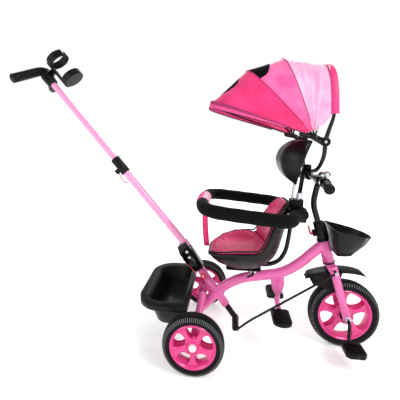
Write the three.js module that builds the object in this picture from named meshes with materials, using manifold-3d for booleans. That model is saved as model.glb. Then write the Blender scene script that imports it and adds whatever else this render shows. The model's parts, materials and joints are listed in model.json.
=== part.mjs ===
// Children's push tricycle with a rear-facing swivel seat, folding canopy, guard ring,
// steering push handle, footrest and two baskets.
// Millimetres, +Z up, +X forward, +Y to the rider's left. Design coordinates put x = 0 on the
// rear axle and z = 0 on the floor; the finished group is moved so that its origin is the
// middle of its bounding box, on the floor.

import * as THREE from 'three';
import { mergeVertices } from 'three/addons/utils/BufferGeometryUtils.js';
import Module from 'manifold-3d';

const wasm = await Module();
wasm.setup();

// ---------------------------------------------------------------- driving dimensions

const GAP = 0.35;                       // clearance kept between separate pieces
const FRONT_TYRE_R = 127;               // 10 inch front wheel
const REAR_TYRE_R = 103.6;              // 8 inch rear wheels
const FRONT_RIM_R = 96.6;
const REAR_RIM_R = 77.2;
const TYRE_HALF = 25;                   // half the tyre's width
const RIM_HALF = 22;
const WHEEL_SIDES = 32;                 // facets of a tyre and of the rim inside it
const WHEELBASE = 544;
const HALF_TRACK = 212;                 // rear wheel centre to the middle of the trike
const AXLE_R = 6;

const STEER_LEAN = 16.7;                // degrees the steering axis leans back
const SLEEVE_LEAN = 36.4;               // degrees the push handle's sleeve leans back
const HANDLE_LEAN = 40.5;               // degrees the push handle's tubes lean back

const FRAME_TUBE_R = 19;
const HEAD_TUBE_R = 21;
const STEERER_R = 12.4;
const HEAD_LOW = 206;                   // along the steering axis, up from the front axle
const HEAD_HIGH = 288;
const CROWN_TOP = 200;

const SLEEVE_TOP = [0, 0, 267];
const SLEEVE_LENGTH = 175;
const SLEEVE_R = 16;
const SHAFT_R = 11;
const LINK_OFFSET = 66;                 // link pivots to the right of both steering axes

const HANDLE_TOP = [-617, 0, 1015];
const HANDLE_LENGTH = 838;              // from the connector to the top of the upper tube
const LOWER_TUBE_R = 14;
const UPPER_TUBE_R = 11.5;
const CLAMP_AT = 455;                   // telescopic clamp, down from the top of the tube

const SEAT_POST = [206, 0];
const SEAT_POST_TOP = 280;
const RING_R = 23;                      // padded guard ring's tube
const HUB = [413, 773];                 // canopy hinge line, x and z
const HUB_HALF = 145;
const BOW_HUB = [373, 792];             // where the canopy's bows turn, x and z

// ---------------------------------------------------------------- finishes

const finish = (color, roughness, metalness) =>
  new THREE.MeshStandardMaterial({ color, roughness, metalness });

const FINISH = {
  pinkPaint: finish('#ec4f9b', 0.3, 0.1),
  pinkPlastic: finish('#e23d86', 0.35, 0),
  palePlastic: finish('#f0dbe6', 0.35, 0),
  blackPaint: finish('#16171a', 0.35, 0.2),
  blackPlastic: finish('#232529', 0.5, 0),
  foamTyre: finish('#2b2c2f', 0.8, 0),
  steel: finish('#c8cbd0', 0.25, 1),
  redPlastic: finish('#d92644', 0.4, 0),
  leatherette: finish('#26292e', 0.45, 0),
  pinkLeatherette: finish('#cf2a5c', 0.5, 0),
  blackFabric: finish('#1b1c20', 0.9, 0),
  pinkFabric: finish('#ee2f7d', 0.85, 0),
};

// ---------------------------------------------------------------- solids and placing

const vec = (p) => new THREE.Vector3(p[0], p[1], p[2]);
const rad = THREE.MathUtils.degToRad;

function merged(geometry) {
  const bare = geometry.clone();
  bare.deleteAttribute('normal');
  bare.deleteAttribute('uv');
  return mergeVertices(bare, 1e-3);
}

// A geometry as a manifold solid, with its faces turned outwards.
function solid(geometry) {
  const mesh = merged(geometry);
  const p = mesh.attributes.position;
  const corners = [];
  let volume = 0;
  for (let i = 0; i < mesh.index.count; i += 3) {
    const [a, b, c] = [0, 1, 2].map((k) => mesh.index.getX(i + k));
    if (a === b || b === c || c === a) continue;
    corners.push(a, b, c);
    const va = new THREE.Vector3().fromBufferAttribute(p, a);
    const vb = new THREE.Vector3().fromBufferAttribute(p, b);
    const vc = new THREE.Vector3().fromBufferAttribute(p, c);
    volume += va.dot(vb.cross(vc));
  }
  if (volume < 0) corners.reverse();
  return new wasm.Manifold(new wasm.Mesh({
    numProp: 3,
    vertProperties: new Float32Array(p.array),
    triVerts: new Uint32Array(corners),
  }));
}

function geometryOf(body) {
  const mesh = body.getMesh();
  const geometry = new THREE.BufferGeometry();
  geometry.setAttribute('position', new THREE.BufferAttribute(mesh.vertProperties, 3));
  geometry.setIndex(new THREE.BufferAttribute(mesh.triVerts, 1));
  return geometry;
}

function union(...parts) {
  return parts.map((part) => (part.isBufferGeometry ? solid(part) : part))
    .reduce((whole, part) => whole.add(part));
}

function cut(body, ...tools) {
  let rest = body.isBufferGeometry ? solid(body) : body;
  for (const tool of tools) rest = rest.subtract(tool.isBufferGeometry ? solid(tool) : tool);
  return rest;
}

// A frame whose Z leans back from the vertical, with its origin at a point.
function leaning(origin, degrees) {
  return new THREE.Matrix4().makeTranslation(origin[0], origin[1], origin[2])
    .multiply(new THREE.Matrix4().makeRotationY(-rad(degrees)));
}

const STEER = leaning([WHEELBASE, 0, FRONT_TYRE_R], STEER_LEAN);
const SLEEVE = leaning(SLEEVE_TOP, SLEEVE_LEAN);
const HANDLE = leaning(HANDLE_TOP, HANDLE_LEAN);

const inFrame = (matrix, points) => points.map((p) => vec(p).applyMatrix4(matrix).toArray());

// ---------------------------------------------------------------- shapes

function rodBetween(a, b, radius, sides = 16) {
  const from = vec(a);
  const along = vec(b).sub(from);
  const rod = new THREE.CylinderGeometry(radius, radius, along.length(), sides);
  rod.translate(0, along.length() / 2, 0);
  const turn = new THREE.Quaternion().setFromUnitVectors(
    new THREE.Vector3(0, 1, 0), along.clone().normalize());
  rod.applyQuaternion(turn);
  return rod.translate(from.x, from.y, from.z);
}

// A profile of [radius, distance] turned round the line from a to b.
function turned(a, b, profile, sides = 18) {
  const from = vec(a);
  const along = vec(b).sub(from).normalize();
  const body = new THREE.LatheGeometry(profile.map(([r, d]) => new THREE.Vector2(r, d)), sides);
  body.applyQuaternion(new THREE.Quaternion().setFromUnitVectors(
    new THREE.Vector3(0, 1, 0), along));
  return body.translate(from.x, from.y, from.z);
}

function tubeBetween(a, b, outer, inner, sides = 18) {
  const length = vec(b).distanceTo(vec(a));
  const profile = [[inner, 0], [outer, 0], [outer, length], [inner, length], [inner, 0]];
  return turned(a, b, profile, sides);
}

function smooth(points) {
  return new THREE.CatmullRomCurve3(points.map(vec), false, 'centripetal');
}

// Straight runs joined by rounded corners.
function bent(points, bend) {
  const path = new THREE.CurvePath();
  const corners = points.map(vec);
  let from = corners[0];
  for (let i = 1; i < corners.length - 1; i += 1) {
    const back = corners[i - 1].clone().sub(corners[i]);
    const on = corners[i + 1].clone().sub(corners[i]);
    const reach = Math.min(bend, back.length() / 2.1, on.length() / 2.1);
    const start = corners[i].clone().add(back.setLength(reach));
    const end = corners[i].clone().add(on.setLength(reach));
    path.add(new THREE.LineCurve3(from, start));
    path.add(new THREE.QuadraticBezierCurve3(start, corners[i], end));
    from = end;
  }
  path.add(new THREE.LineCurve3(from, corners[corners.length - 1]));
  return path;
}

function roundShape(radius, sides) {
  const points = [];
  for (let i = 0; i < sides; i += 1) {
    const turn = 2 * Math.PI * i / sides;
    points.push(new THREE.Vector2(radius * Math.cos(turn), radius * Math.sin(turn)));
  }
  return new THREE.Shape(points);
}

function tubeAlong(path, radius, sides, steps) {
  return new THREE.ExtrudeGeometry(roundShape(radius, sides), { extrudePath: path, steps });
}

function roundedOutline(width, height, corner) {
  const [x, y, r] = [width / 2, height / 2, corner];
  const outline = new THREE.Shape();
  outline.absarc(x - r, y - r, r, 0, Math.PI / 2);
  outline.absarc(-x + r, y - r, r, Math.PI / 2, Math.PI);
  outline.absarc(-x + r, -y + r, r, Math.PI, 1.5 * Math.PI);
  outline.absarc(x - r, -y + r, r, 1.5 * Math.PI, 2 * Math.PI);
  return outline;
}

const polygon = (points) => new THREE.Shape(points.map(([x, y]) => new THREE.Vector2(x, y)));

// An outline in X and Z, given thickness from y = low to y = high.
function plate(outline, low, high, curveSegments = 6) {
  const shape = Array.isArray(outline) ? polygon(outline) : outline;
  const body = new THREE.ExtrudeGeometry(shape, {
    depth: high - low, bevelEnabled: false, curveSegments,
  });
  return body.rotateX(Math.PI / 2).translate(0, high, 0);
}

// An outline in X and Y, given height from z = low to z = high.
function slab(outline, low, high, curveSegments = 6, steps = 1) {
  const shape = Array.isArray(outline) ? polygon(outline) : outline;
  const body = new THREE.ExtrudeGeometry(shape, {
    depth: high - low, bevelEnabled: false, curveSegments, steps,
  });
  return body.translate(0, 0, low);
}

function block(low, high) {
  const size = high.map((value, i) => value - low[i]);
  return new THREE.BoxGeometry(...size)
    .translate((low[0] + high[0]) / 2, (low[1] + high[1]) / 2, (low[2] + high[2]) / 2);
}

// A box grid whose points are sent to place(u, v, t), each from 0 to 1.
function shaped(across, along, place) {
  const body = new THREE.BoxGeometry(1, 1, 1, across, along, 1);
  const p = body.attributes.position;
  for (let i = 0; i < p.count; i += 1) {
    p.setXYZ(i, ...place(p.getX(i) + 0.5, p.getY(i) + 0.5, p.getZ(i) + 0.5));
  }
  return body;
}

// Values at evenly spread stations, joined smoothly.
function profileOf(values) {
  return (u) => {
    const place = Math.min(Math.max(u, 0), 1) * (values.length - 1);
    const i = Math.min(Math.floor(place), values.length - 2);
    const f = place - i;
    const ease = f * f * (3 - 2 * f);
    return values[i] + (values[i + 1] - values[i]) * (0.5 * f + 0.5 * ease);
  };
}

const trike = new THREE.Group();

function piece(name, finishName, body) {
  const geometry = body.isBufferGeometry ? geometryOf(solid(body)) : geometryOf(body);
  const mesh = new THREE.Mesh(geometry, FINISH[finishName]);
  mesh.name = name;
  trike.add(mesh);
}

// ---------------------------------------------------------------- welded frame

const MAIN_TUBE = [
  [2, 0, 104], [29, 0, 131], [68, 0, 176], [111, 0, 211], [170, 0, 239],
  [256, 0, 256], [325, 0, 274], [385, 0, 314], [430, 0, 358], [464, 0, 388],
];

function steerLine(low, high) {
  return inFrame(STEER, [[0, 0, low], [0, 0, high]]);
}

function footrestBracket() {
  const outline = [[272, 256], [321, 269], [323, 226], [315, 194], [304, 184], [291, 187],
    [280, 205]];
  return union(plate(outline, 10, 14), plate(outline, -14, -10));
}

function basketBrackets() {
  const outline = [[-8, 100], [10, 100], [16, 128], [27, 160], [26, 178], [14, 188], [0, 182],
    [-5, 165]];
  return union(plate(outline, 26, 30), plate(outline, -30, -26));
}

function weldedFrame() {
  const [headLow, headHigh] = steerLine(HEAD_LOW, HEAD_HIGH);
  const [boreLow, boreHigh] = steerLine(HEAD_LOW - 30, HEAD_HIGH + 30);
  const [sleeveLow, sleeveHigh] = inFrame(SLEEVE, [[0, 0, -SLEEVE_LENGTH], [0, 0, 0]]);
  const [pastLow, pastHigh] = inFrame(SLEEVE, [[0, 0, -SLEEVE_LENGTH - 20], [0, 0, 20]]);
  const [postX, postY] = SEAT_POST;
  const whole = union(
    tubeAlong(smooth(MAIN_TUBE), FRAME_TUBE_R, 12, 18),
    rodBetween(headLow, headHigh, HEAD_TUBE_R, 16),
    rodBetween([0, -168, REAR_TYRE_R], [0, 168, REAR_TYRE_R], 15, 16),
    rodBetween(sleeveLow, sleeveHigh, SLEEVE_R, 14),
    rodBetween([postX, postY, 240], [postX, postY, SEAT_POST_TOP], 15, 16),
    footrestBracket(),
    basketBrackets(),
  );
  return cut(whole,
    rodBetween(boreLow, boreHigh, STEERER_R + 1.6, 14),
    rodBetween(pastLow, pastHigh, SHAFT_R + 1, 12),
    rodBetween([0, -200, REAR_TYRE_R], [0, 200, REAR_TYRE_R], AXLE_R + 0.5, 12));
}

piece('welded_frame', 'pinkPaint', weldedFrame());

function headsetCup(low, high) {
  const [a, b] = steerLine(low, high);
  return tubeBetween(a, b, HEAD_TUBE_R + 1.5, STEERER_R + 0.7, 16);
}

piece('headset_lower', 'blackPaint', headsetCup(CROWN_TOP + GAP, HEAD_LOW - GAP));
piece('headset_upper', 'blackPaint', headsetCup(HEAD_HIGH + GAP, HEAD_HIGH + 6));
piece('rear_axle', 'steel', rodBetween([0, -230, REAR_TYRE_R], [0, 230, REAR_TYRE_R], AXLE_R, 12));

// ---------------------------------------------------------------- wheels

function tyre(centre, y, outer, inner) {
  const [x, z] = centre;
  const bead = inner + GAP;
  const profile = [
    [bead, -RIM_HALF], [outer - 16, -TYRE_HALF], [outer - 4, -19], [outer, -9],
    [outer, 9], [outer - 4, 19], [outer - 16, TYRE_HALF], [bead, RIM_HALF], [bead, -RIM_HALF],
  ];
  return turned([x, y, z], [x, y + 1, z], profile, WHEEL_SIDES);
}

// Five broad spokes between a barrel and a hub, drawn round a centre.
function rim(centre, y, outer, hubR, boreR, hubHalf) {
  const [x, z] = centre;
  const ledge = outer - 11;
  const spokes = roundShape(ledge + 3, WHEEL_SIDES);
  const at = (radius, turn) => new THREE.Vector2(radius * Math.cos(turn), radius * Math.sin(turn));
  for (let i = 0; i < 5; i += 1) {
    const middle = Math.PI / 2 + i * 2 * Math.PI / 5;
    const outside = [-0.36, -0.18, 0, 0.18, 0.36].map((turn) => at(ledge - 4, middle + turn));
    const inside = [0.18, -0.18].map((turn) => at(hubR + 10, middle + turn));
    spokes.holes.push(new THREE.Path([...outside, ...inside]));
  }
  const disc = plate(spokes, y - 9, y + 9).translate(x, 0, z);
  const barrel = tubeBetween([x, y - RIM_HALF, z], [x, y + RIM_HALF, z], outer, ledge, WHEEL_SIDES);
  const hub = rodBetween([x, y - hubHalf, z], [x, y + hubHalf, z], hubR, 16);
  const bore = rodBetween([x, y - 60, z], [x, y + 60, z], boreR, 16);
  return cut(union(disc, barrel, hub), bore);
}

const FRONT_AXLE = [WHEELBASE, FRONT_TYRE_R];
const REAR_AXLE = [0, REAR_TYRE_R];

for (const [side, sign] of [['left', 1], ['right', -1]]) {
  const y = sign * HALF_TRACK;
  const hubFace = sign * (HALF_TRACK + RIM_HALF - 1);
  piece(`rear_tyre_${side}`, 'foamTyre', tyre(REAR_AXLE, y, REAR_TYRE_R, REAR_RIM_R));
  piece(`rear_rim_${side}`, 'pinkPlastic', rim(REAR_AXLE, y, REAR_RIM_R, 20, AXLE_R + 0.4, 21));
  piece(`rear_hub_cap_${side}`, 'palePlastic', turned(
    [0, hubFace + sign * GAP, REAR_TYRE_R], [0, hubFace + sign * 10, REAR_TYRE_R],
    [[0, 0], [18, 0], [17, 4], [12, 7.5], [0, 9.5]], 16));
}

piece('front_tyre', 'foamTyre', tyre(FRONT_AXLE, 0, FRONT_TYRE_R, FRONT_RIM_R));
piece('front_rim', 'pinkPlastic', rim(FRONT_AXLE, 0, FRONT_RIM_R, 27, 20, RIM_HALF));
piece('front_hub', 'blackPlastic', tubeBetween(
  [WHEELBASE, -33, FRONT_TYRE_R], [WHEELBASE, 33, FRONT_TYRE_R], 19, AXLE_R + 0.6, 16));

const CRANK = 58;                       // crank length
const CRANK_TURN = rad(7);              // the right crank points down and a little back
const PEDAL_AT = [100, 164];            // from the middle, inner and outer ends of a pedal

function pedalPin(sign) {
  const x = WHEELBASE + sign * CRANK * Math.sin(CRANK_TURN);
  const z = FRONT_TYRE_R + sign * CRANK * Math.cos(CRANK_TURN);
  return [x, z];
}

function crankAxle() {
  const [rightX, rightZ] = pedalPin(-1);
  const [leftX, leftZ] = pedalPin(1);
  return tubeAlong(bent([
    [rightX, -166, rightZ], [rightX, -86, rightZ], [WHEELBASE, -70, FRONT_TYRE_R],
    [WHEELBASE, 70, FRONT_TYRE_R], [leftX, 86, leftZ], [leftX, 166, leftZ],
  ], 12), AXLE_R, 8, 32);
}

piece('crank_axle', 'blackPaint', crankAxle());

function pedal(sign) {
  const [x, z] = pedalPin(sign);
  const tread = roundedOutline(66, 22, 8);
  const bore = new THREE.Path();
  bore.absarc(0, 0, AXLE_R + 1, 0, 2 * Math.PI, false);
  tread.holes.push(bore);
  const [near, far] = [sign * PEDAL_AT[0], sign * PEDAL_AT[1]];
  return plate(tread, Math.min(near, far), Math.max(near, far), 4).translate(x, 0, z);
}

piece('pedal_left', 'blackPlastic', pedal(1));
piece('pedal_right', 'blackPlastic', pedal(-1));

// ---------------------------------------------------------------- fork, stem and handlebar

function fork() {
  const leg = new THREE.Shape();
  leg.absarc(0, 0, 15, Math.PI, 2 * Math.PI);
  leg.lineTo(12, 60);
  leg.lineTo(14, CROWN_TOP - 8);
  leg.absarc(0, CROWN_TOP - 12, 14, 0.3, Math.PI - 0.3);
  leg.lineTo(-12, 60);
  const hole = new THREE.Path();
  hole.absarc(0, 0, AXLE_R + 0.8, 0, 2 * Math.PI, false);
  leg.holes.push(hole);
  const parts = [
    plate(leg, 38, 52, 4), plate(leg, -52, -38, 4),
    block([-15, -45, CROWN_TOP - 18], [15, 45, CROWN_TOP]),
    rodBetween([0, 0, CROWN_TOP - 10], [0, 0, 345], STEERER_R, 16),
    rodBetween([0, -54, CROWN_TOP - 10], [0, -40, CROWN_TOP - 10], 9, 12),
    rodBetween([0, 40, CROWN_TOP - 10], [0, 54, CROWN_TOP - 10], 9, 12),
  ];
  return union(...parts.map((part) => part.applyMatrix4(STEER)));
}

piece('fork', 'pinkPaint', fork());

const GUARD_LINE = [
  [615, 279], [606, 289], [585, 296], [544, 300], [500, 298], [465, 291], [430, 281],
  [408, 272], [400, 262],
];

function mudguard() {
  const line = new THREE.CatmullRomCurve3(GUARD_LINE.map(([x, z]) => new THREE.Vector3(x, 0, z)));
  const half = (u) => 32 * Math.sqrt(1 - 0.78 * (2 * u - 1) ** 8);
  const top = shaped(12, 4, (u, v, t) => {
    const point = line.getPointAt(u);
    const y = (2 * v - 1) * half(u);
    return [point.x, y, point.z - 3 * t - 4 * (2 * v - 1) ** 4];
  });
  const skirt = [[409, 268], [424, 243], [446, 236], [480, 226], [512, 250], [528, 295.5],
    [500, 294.5], [465, 287.5], [430, 277]];
  return union(top, plate(skirt, 27.5, 30), plate(skirt, -30, -27.5));
}

piece('mudguard', 'blackPlastic', mudguard());

function steeringCollar() {
  const [low, high] = [HEAD_HIGH + 6.5, 360];
  const parts = [
    rodBetween([0, 0, low], [0, 0, high], 19, 16),
    block([-30, -8, 312], [-12, 8, 334]),
    block([10, -12, low + 4], [22, 12, high - 4]),
  ];
  const bore = rodBetween([0, 0, low - 5], [0, 0, high + 5], STEERER_R + 0.6, 14);
  return cut(union(...parts.map((part) => part.applyMatrix4(STEER))), bore.applyMatrix4(STEER));
}

piece('steering_collar', 'blackPlastic', steeringCollar());

const COLLAR_LEVER_PIVOT = [-34, 0, 323];

function collarLever() {
  const [x, , z] = COLLAR_LEVER_PIVOT;
  return union(
    rodBetween([x, -9, z], [x, 9, z], 3.2, 14),
    plate(roundedOutline(5, 34, 2.2), -8, 8, 4).translate(x - 3.5, 0, z + 15),
  );
}

piece('collar_lever', 'redPlastic', geometryOf(collarLever()).applyMatrix4(STEER));

const BAR_MIDDLE = [44, 0, 512];        // handlebar's middle, in the steering frame

function stem() {
  const [x, , z] = BAR_MIDDLE;
  const path = bent([[0, 0, 345.6], [0, 0, 432], [26, 0, 482], [x, 0, z]], 26);
  const clamp = rodBetween([x, -22, z], [x, 22, z], 18, 18);
  const bore = rodBetween([x, -40, z], [x, 40, z], 10.8 + GAP, 20);
  return cut(union(tubeAlong(path, 11, 10, 12), clamp), bore);
}

piece('stem', 'blackPaint', geometryOf(stem()).applyMatrix4(STEER));

const [BAR_X, , BAR_Z] = inFrame(STEER, [BAR_MIDDLE])[0];
const BAR_END = [BAR_X - 21, 185, BAR_Z - 3];
const BAR_BEND = [BAR_X - 5, 80, BAR_Z + 4];

function sided(point, sign) {
  return [point[0], sign * point[1], point[2]];
}

piece('handlebar', 'blackPaint', tubeAlong(bent([
  sided(BAR_END, -1), sided(BAR_BEND, -1), [BAR_X, -35, BAR_Z],
  [BAR_X, 35, BAR_Z], BAR_BEND, BAR_END,
], 18), 10.8, 10, 18));

function grip(sign) {
  const inner = vec(sided(BAR_BEND, sign)).lerp(vec(sided(BAR_END, sign)), 0.22);
  const outer = vec(sided(BAR_END, sign));
  const length = inner.distanceTo(outer);
  const bore = 10.8 + GAP;
  return turned(inner.toArray(), outer.toArray(), [
    [0, length + GAP], [bore, length + GAP], [bore, 0], [17, 0], [18.5, 3], [15.5, 7],
    [16.5, length / 2], [15.5, length], [17, length + 3], [15, length + 6], [0, length + 6],
  ], 16);
}

piece('grip_left', 'blackPlastic', grip(1));
piece('grip_right', 'blackPlastic', grip(-1));

const BELL = [BAR_X - 6, -84, BAR_Z + 4];

function bell() {
  const [x, y, z] = BELL;
  const clamp = tubeBetween([x, y - 6, z], [x, y + 6, z], 17.5, 13, 16);
  const foot = rodBetween([x, y, z + 14.5], [x, y, z + 22], 7, 12);
  const dome = turned([x, y, z + 20], [x, y, z + 21], [
    [0, 0], [20, 0], [22, 2], [21, 8], [17, 14], [10, 18], [0, 19.5],
  ], 18);
  return union(clamp, foot, dome);
}

piece('bell', 'steel', bell());

const BELL_LEVER_PIVOT = [BELL[0], BELL[1] + 17, BELL[2] + 14];

piece('bell_lever', 'blackPlastic', union(
  rodBetween([BELL_LEVER_PIVOT[0], BELL_LEVER_PIVOT[1], BELL_LEVER_PIVOT[2] - 2],
    [BELL_LEVER_PIVOT[0], BELL_LEVER_PIVOT[1], BELL_LEVER_PIVOT[2] + 3], 3.5, 12),
  slab(roundedOutline(34, 8, 3.8), BELL_LEVER_PIVOT[2] - 2, BELL_LEVER_PIVOT[2] + 2, 4)
    .translate(BELL_LEVER_PIVOT[0] - 16, BELL_LEVER_PIVOT[1], 0),
));

// ---------------------------------------------------------------- front basket

const BASKET = { back: 479, length: 161, half: 75, floor: 365, top: 474, wall: 3 };

// The basket's outside, drawn in by inset on every wall, up from z = low.
function basketBody(inset, low) {
  const outline = new THREE.Shape();
  const [length, half] = [BASKET.length - 2 * inset, BASKET.half - inset];
  outline.moveTo(0, -half + 14);
  outline.absarc(14, -half + 14, 14, Math.PI, 1.5 * Math.PI);
  outline.lineTo(length * 0.38, -half);
  outline.absellipse(length * 0.38, 0, length * 0.62, half, -Math.PI / 2, Math.PI / 2);
  outline.absarc(14, half - 14, 14, Math.PI / 2, Math.PI);
  const body = slab(outline, low, BASKET.top, 3, 3);
  const p = body.attributes.position;
  for (let i = 0; i < p.count; i += 1) {
    const f = (p.getZ(i) - BASKET.floor) / (BASKET.top - BASKET.floor);
    const narrow = 1 - (1 - f) ** 1.8;
    const across = 0.74 + 0.26 * narrow;
    const along = 0.45 + 0.55 * narrow;
    const back = BASKET.back + 16 * (1 - f) + inset;
    p.setXYZ(i, back + p.getX(i) * along, p.getY(i) * across, p.getZ(i));
  }
  return body;
}

function frontBasket() {
  const above = block([-200, -150, 0], [200, 150, 120])
    .rotateY(rad(12.5)).translate(560, 0, 443);
  const shell = cut(basketBody(0, BASKET.floor), basketBody(BASKET.wall, BASKET.floor + 3.5));
  return cut(shell, above);
}

piece('front_basket', 'blackPlastic', frontBasket());

piece('basket_clip', 'steel',
  block([22 + GAP, -13, 297], [25, 13, 352]).applyMatrix4(STEER));

// ---------------------------------------------------------------- rear basket

const REAR_BASKET = { back: -212, front: -27, half: 178, floor: 104, lip: 205, wall: 3.5 };

function rearOutline(inset, corner) {
  const { back, front, half } = REAR_BASKET;
  const [low, high, side] = [back + inset, front - inset * 0.6, half - inset];
  const outline = new THREE.Shape();
  outline.moveTo(high, -side);
  outline.lineTo(high, side);
  outline.absarc(low + corner, side - corner, corner, Math.PI / 2, Math.PI);
  outline.absarc(low + corner, -side + corner, corner, Math.PI, 1.5 * Math.PI);
  return outline;
}

function rearTub(inset, low, high) {
  const tub = slab(rearOutline(inset, 58), low, high, 3, 3);
  const { floor, lip } = REAR_BASKET;
  const p = tub.attributes.position;
  for (let i = 0; i < p.count; i += 1) {
    const f = (p.getZ(i) - floor) / (lip - floor);
    const narrow = 0.76 + 0.24 * f;
    p.setXYZ(i, -52 + (p.getX(i) + 52) * narrow, p.getY(i) * narrow, p.getZ(i));
  }
  return tub;
}

function rearBasket() {
  const { floor, lip, wall } = REAR_BASKET;
  const outside = union(
    rearTub(26, floor, lip - 2),
    slab(rearOutline(0, 88), lip - 20, lip, 4),
  );
  const underLip = cut(slab(rearOutline(3, 85), lip - 30, lip - 3, 4), rearTub(26, floor, lip));
  return cut(outside, underLip, rearTub(26 + wall, floor + wall, lip + 1));
}

piece('rear_basket', 'blackPlastic', rearBasket());

// ---------------------------------------------------------------- footrest

const FOOT_PIVOT = [302, 0, 206];

function footrestArm() {
  const [x, , z] = FOOT_PIVOT;
  return union(
    rodBetween([x, -9.5, z], [x, 9.5, z], 11, 20),
    rodBetween([x, 0, z], [x, 0, 148], 9, 16),
    rodBetween([x, -142, 143], [x, 142, 143], 6, 14),
    rodBetween([x, -36, 143], [x, 36, 143], 9, 16),
  );
}

piece('footrest_arm', 'pinkPaint', footrestArm());

function footrestPad(sign) {
  const [inner, outer] = [46, 144];
  const [low, high] = sign > 0 ? [inner, outer] : [-outer, -inner];
  const tread = roundedOutline(66, 18, 7);
  const bore = new THREE.Path();
  bore.absarc(0, 0, 6.4, 0, 2 * Math.PI, false);
  tread.holes.push(bore);
  return plate(tread, low, high, 5).translate(FOOT_PIVOT[0], 0, 143);
}

piece('footrest_pad_left', 'blackPlastic', footrestPad(1));
piece('footrest_pad_right', 'blackPlastic', footrestPad(-1));

// ---------------------------------------------------------------- steering link

const CRANK_DOWN = -238;                // link crank, along the sleeve from its top
const SHAFT_END = -250;

function handleShaft() {
  const crank = roundedOutline(26, LINK_OFFSET + 26, 12.5);
  return union(
    rodBetween([0, 0, SHAFT_END], [0, 0, 42], SHAFT_R, 20),
    slab(crank, CRANK_DOWN - 4, CRANK_DOWN + 4, 6).translate(0, -LINK_OFFSET / 2, 0),
  ).subtract(solid(rodBetween([0, -LINK_OFFSET, CRANK_DOWN - 9],
    [0, -LINK_OFFSET, CRANK_DOWN + 9], 4.6, 14)));
}

piece('handle_shaft', 'blackPaint', geometryOf(handleShaft()).applyMatrix4(SLEEVE));

function linkRod() {
  const [pinLow, pinHigh] = inFrame(SLEEVE, [
    [0, -LINK_OFFSET, CRANK_DOWN - 14], [0, -LINK_OFFSET, CRANK_DOWN + 6]]);
  const [start] = inFrame(SLEEVE, [[0, -LINK_OFFSET, CRANK_DOWN - 10]]);
  const [end, boss] = inFrame(STEER, [
    [0, -LINK_OFFSET, CROWN_TOP - 10], [0, -57, CROWN_TOP - 10]]);
  const bend = [start[0] + 42, -LINK_OFFSET - 8, start[2] + 42];
  const path = bent([start, bend, [end[0], -LINK_OFFSET - 8, end[2]]], 22);
  return union(
    tubeAlong(path, 4, 8, 16),
    rodBetween(pinLow, pinHigh, 4.2, 8),
    rodBetween([end[0], -LINK_OFFSET - 12, end[2]], boss, 5.5, 8),
  );
}

piece('link_rod', 'blackPaint', linkRod());

// ---------------------------------------------------------------- push handle

const TUBE_FOOT = -HANDLE_LENGTH;       // foot of the lower tube, in the handle frame

function handleConnector() {
  const outline = [[-17, 4], [17, 4], [19, 60], [19, 122], [-18, 122], [-27, 96], [-27, 52],
    [-20, 34]];
  const body = union(plate(outline, -22, 22).applyMatrix4(SLEEVE));
  const shaftBore = rodBetween([0, 0, -10], [0, 0, 42 + GAP], SHAFT_R + GAP, 20);
  const [low, high] = inFrame(HANDLE, [[0, 0, TUBE_FOOT - 34], [0, 0, TUBE_FOOT + 90]]);
  return cut(body, shaftBore.applyMatrix4(SLEEVE), rodBetween(low, high, LOWER_TUBE_R + GAP, 20));
}

piece('handle_connector', 'blackPaint', handleConnector());

function lowerTube() {
  const [low, high] = inFrame(HANDLE, [[0, 0, TUBE_FOOT - 33], [0, 0, -CLAMP_AT - 12]]);
  return tubeBetween(low, high, LOWER_TUBE_R, UPPER_TUBE_R + 0.5, 20);
}

piece('handle_lower_tube', 'pinkPaint', lowerTube());

const CLAMP_HALF = 36;

function telescopicClamp() {
  const profile = [
    [UPPER_TUBE_R + 0.5, CLAMP_HALF], [17, CLAMP_HALF], [18.5, CLAMP_HALF - 3],
    [18.5, -CLAMP_HALF + 3], [17, -CLAMP_HALF], [LOWER_TUBE_R + GAP, -CLAMP_HALF],
    [LOWER_TUBE_R + GAP, -12 + GAP], [UPPER_TUBE_R + 0.5, -12 + GAP],
    [UPPER_TUBE_R + 0.5, CLAMP_HALF],
  ];
  const sleeve = turned([0, 0, -CLAMP_AT], [0, 0, -CLAMP_AT + 1], profile, 24);
  const lug = cut(block([-32, -7, -CLAMP_AT - 20], [-16, 7, -CLAMP_AT - 2]),
    block([-40, -3, -CLAMP_AT - 30], [-19.5, 3, -CLAMP_AT + 8]));
  return union(sleeve, lug);
}

piece('telescopic_clamp', 'blackPlastic', geometryOf(telescopicClamp()).applyMatrix4(HANDLE));

// A red cam lever: an eye on its pin, and a thin J-shaped tail.
function camLever(eye, tail, width) {
  const path = smooth(tail);
  const half = width / 2;
  const strip = shaped(10, 1, (u, v, t) => {
    const point = path.getPointAt(u);
    const way = path.getTangentAt(u);
    const off = (t - 0.5) * 2.6;
    return [point.x - way.z * off, (v - 0.5) * width, point.z + way.x * off];
  });
  return union(
    rodBetween([eye[0], -half, eye[2]], [eye[0], half, eye[2]], 4, 12),
    strip,
  );
}

const CLAMP_LEVER_EYE = [-27, 0, -CLAMP_AT - 11];

piece('clamp_lever', 'redPlastic', geometryOf(camLever(CLAMP_LEVER_EYE, [
  [-27, 0, -CLAMP_AT - 12], [-27.5, 0, -CLAMP_AT - 30], [-31, 0, -CLAMP_AT - 45],
  [-32, 0, -CLAMP_AT - 58], [-24, 0, -CLAMP_AT - 70], [-19, 0, -CLAMP_AT - 73],
], 5.2)).applyMatrix4(HANDLE));

const CONNECTOR_LEVER_EYE = [-32, 0, 64];

piece('connector_lever', 'redPlastic', geometryOf(camLever(CONNECTOR_LEVER_EYE, [
  [-33, 0, 63], [-32, 0, 44], [-28, 0, 26], [-26, 0, 6], [-29, 0, -12],
], 12)).applyMatrix4(SLEEVE));

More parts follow.
